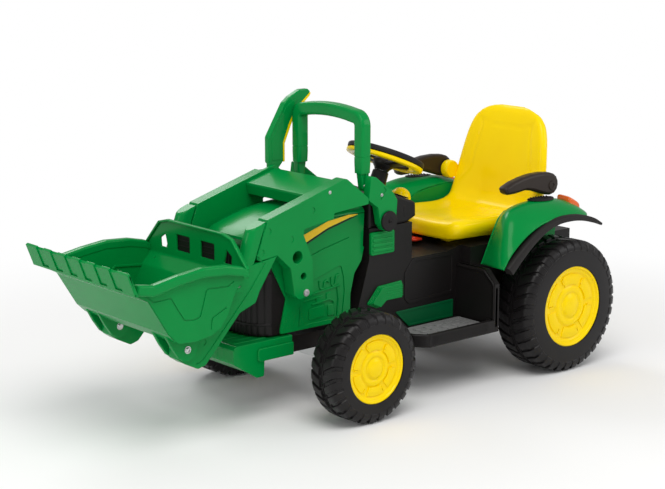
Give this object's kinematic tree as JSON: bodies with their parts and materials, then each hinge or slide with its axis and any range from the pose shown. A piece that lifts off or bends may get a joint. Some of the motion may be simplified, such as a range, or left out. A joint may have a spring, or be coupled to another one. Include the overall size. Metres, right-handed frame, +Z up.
{
  "type": "ride-on tractor toy with front loader",
  "caption": "Child's ride-on tractor with steered front wheels, a sprung pedal, a sliding seat with swing-up armrests and a lifting front loader whose bucket is tipped by a lever.",
  "frame": {"origin": "middle of the whole object's footprint, on the floor", "axes": "+X forward to the bucket, +Y to the driver's left, +Z up"},
  "size_m": [1.5023, 0.6292, 0.753],
  "materials": {
    "green_plastic": "smooth moulded, glossy",
    "black_plastic": "moulded, satin",
    "yellow_plastic": "smooth moulded, glossy",
    "tyre_black": "moulded hard plastic, satin",
    "dark_brown": "moulded, satin",
    "steel": "zinc plated",
    "lamp_orange": "clear coloured lens, glossy",
    "mat_grey": "studded, satin",
    "red_plastic": "glossy",
    "battery_grey": "plain"
  },
  "bodies": {
    "chassis": {"body_shell": "black_plastic", "hood": "green_plastic", "grille": "black_plastic", "bumper": "green_plastic", "dash_console": "black_plastic", "side_panels": "green_plastic", "side_trims": "green_plastic", "foot_mats": "mat_grey", "undertray": "black_plastic", "fender_left": "green_plastic", "fender_right": "green_plastic", "fender_trims": "black_plastic", "fender_inserts": "black_plastic", "tail_lights": "lamp_orange", "battery": "battery_grey", "motors": "battery_grey", "gearboxes": "black_plastic", "rear_axle": "steel", "front_axle_beam": "steel", "kingpins": "steel", "seat_rails": "black_plastic", "tow_hitch": "black_plastic", "pedal_bracket": "black_plastic", "pivot_discs": "black_plastic"},
    "loader": {"boom_left": "green_plastic", "boom_right": "green_plastic", "forearm_left": "green_plastic", "forearm_right": "green_plastic", "pivot_brackets": "green_plastic", "cross_beam": "green_plastic", "lift_handle": "green_plastic", "loader_screws": "steel"},
    "bucket": {"bucket": "green_plastic", "bucket_edge": "green_plastic", "bucket_bolts": "steel"},
    "dump_lever": {"dump_lever": "green_plastic", "lever_strip": "yellow_plastic"},
    "tilt_link": {"tilt_link": "steel"},
    "knuckle_left": {"knuckle_left": "steel"},
    "knuckle_right": {"knuckle_right": "steel"},
    "tie_rod": {"tie_rod": "steel"},
    "steering": {"steering_wheel": "black_plastic", "steering_ring": "yellow_plastic", "steering_grip": "black_plastic", "steering_column": "steel"},
    "front_wheel_left": {"rim_front_left": "yellow_plastic", "tyre_front_left": "tyre_black"},
    "front_wheel_right": {"rim_front_right": "yellow_plastic", "tyre_front_right": "tyre_black"},
    "rear_wheel_left": {"rim_rear_left": "yellow_plastic", "tyre_rear_left": "tyre_black"},
    "rear_wheel_right": {"rim_rear_right": "yellow_plastic", "tyre_rear_right": "tyre_black"},
    "pedal": {"pedal": "black_plastic"},
    "gear_lever": {"gear_lever": "yellow_plastic"},
    "seat": {"seat": "yellow_plastic"},
    "seat_latch": {"seat_latch": "red_plastic"},
    "armrest_left": {"armrest_left": "dark_brown"},
    "armrest_right": {"armrest_right": "dark_brown"}
  },
  "joints": [
    {"name": "loader_lift", "type": "hinge", "parent": "chassis", "child": "loader", "pos_m": [-0.0578, 0, 0.449], "axis": [0, -1, 0], "range_deg": [0, 30]},
    {"name": "bucket_dump", "type": "hinge", "parent": "loader", "child": "bucket", "pos_m": [0.5642, 0, 0.234], "axis": [0, 1, 0], "range_deg": [0, 70]},
    {"name": "dump_lever", "type": "hinge", "parent": "loader", "child": "dump_lever", "pos_m": [0.0752, 0, 0.548], "axis": [0, 1, 0], "range_deg": [0, 38.1]},
    {"name": "tilt_link", "type": "slide", "parent": "loader", "child": "tilt_link", "axis": [-0.7915, 0, 0.6112], "range_m": [0, 0.0248]},
    {"name": "steer_left", "type": "hinge", "parent": "chassis", "child": "knuckle_left", "pos_m": [0.1187, 0.19, 0.1358], "axis": [0, 0, 1], "range_deg": [-20, 20]},
    {"name": "steer_right", "type": "hinge", "parent": "chassis", "child": "knuckle_right", "pos_m": [0.1187, -0.19, 0.1358], "axis": [0, 0, 1], "range_deg": [-20, 20]},
    {"name": "tie_rod_slide", "type": "slide", "parent": "chassis", "child": "tie_rod", "axis": [0, 1, 0], "range_m": [-0.0235, 0.0235]},
    {"name": "steering_turn", "type": "hinge", "parent": "chassis", "child": "steering", "pos_m": [-0.1878, 0, 0.575], "axis": [-0.3955, 0, 0.9184], "range_deg": [-31, 31]},
    {"name": "front_spin_left", "type": "hinge", "parent": "knuckle_left", "child": "front_wheel_left", "pos_m": [0.1187, 0.2659, 0.1358], "axis": [0, 1, 0], "continuous": true},
    {"name": "front_spin_right", "type": "hinge", "parent": "knuckle_right", "child": "front_wheel_right", "pos_m": [0.1187, -0.2659, 0.1358], "axis": [0, 1, 0], "continuous": true},
    {"name": "rear_spin_left", "type": "hinge", "parent": "chassis", "child": "rear_wheel_left", "pos_m": [-0.5748, 0.2539, 0.1764], "axis": [0, 1, 0], "continuous": true},
    {"name": "rear_spin_right", "type": "hinge", "parent": "chassis", "child": "rear_wheel_right", "pos_m": [-0.5748, -0.2539, 0.1764], "axis": [0, 1, 0], "continuous": true},
    {"name": "pedal_press", "type": "hinge", "parent": "chassis", "child": "pedal", "pos_m": [-0.1828, -0.206, 0.172], "axis": [0, 1, 0], "range_deg": [0, 12], "stiffness_Nm_per_rad": 0.5, "springref_deg": -11.46},
    {"name": "gear_shift", "type": "hinge", "parent": "chassis", "child": "gear_lever", "pos_m": [-0.2428, 0, 0.335], "axis": [0, 1, 0], "range_deg": [-12, 12]},
    {"name": "seat_slide", "type": "slide", "parent": "chassis", "child": "seat", "axis": [-1, 0, 0], "range_m": [0, 0.03]},
    {"name": "seat_latch_press", "type": "slide", "parent": "seat", "child": "seat_latch", "axis": [0, 0, 1], "range_m": [0, 0.003], "stiffness_N_per_m": 300, "springref_m": -0.002},
    {"name": "armrest_left_swing", "type": "hinge", "parent": "seat", "child": "armrest_left", "pos_m": [-0.5888, 0.202, 0.486], "axis": [0, -1, 0], "range_deg": [0, 75]},
    {"name": "armrest_right_swing", "type": "hinge", "parent": "seat", "child": "armrest_right", "pos_m": [-0.5888, -0.202, 0.486], "axis": [0, -1, 0], "range_deg": [0, 75]}
  ],
  "couplings": [
    {"joint": "dump_lever", "follows": "bucket_dump", "ratio": 0.5429},
    {"joint": "tilt_link", "follows": "bucket_dump", "m_per_rad": 0.02014},
    {"joint": "steer_right", "follows": "steer_left", "ratio": 1},
    {"joint": "tie_rod_slide", "follows": "steer_left", "m_per_rad": -0.0666},
    {"joint": "steering_turn", "follows": "steer_left", "ratio": 1.53}
  ]
}
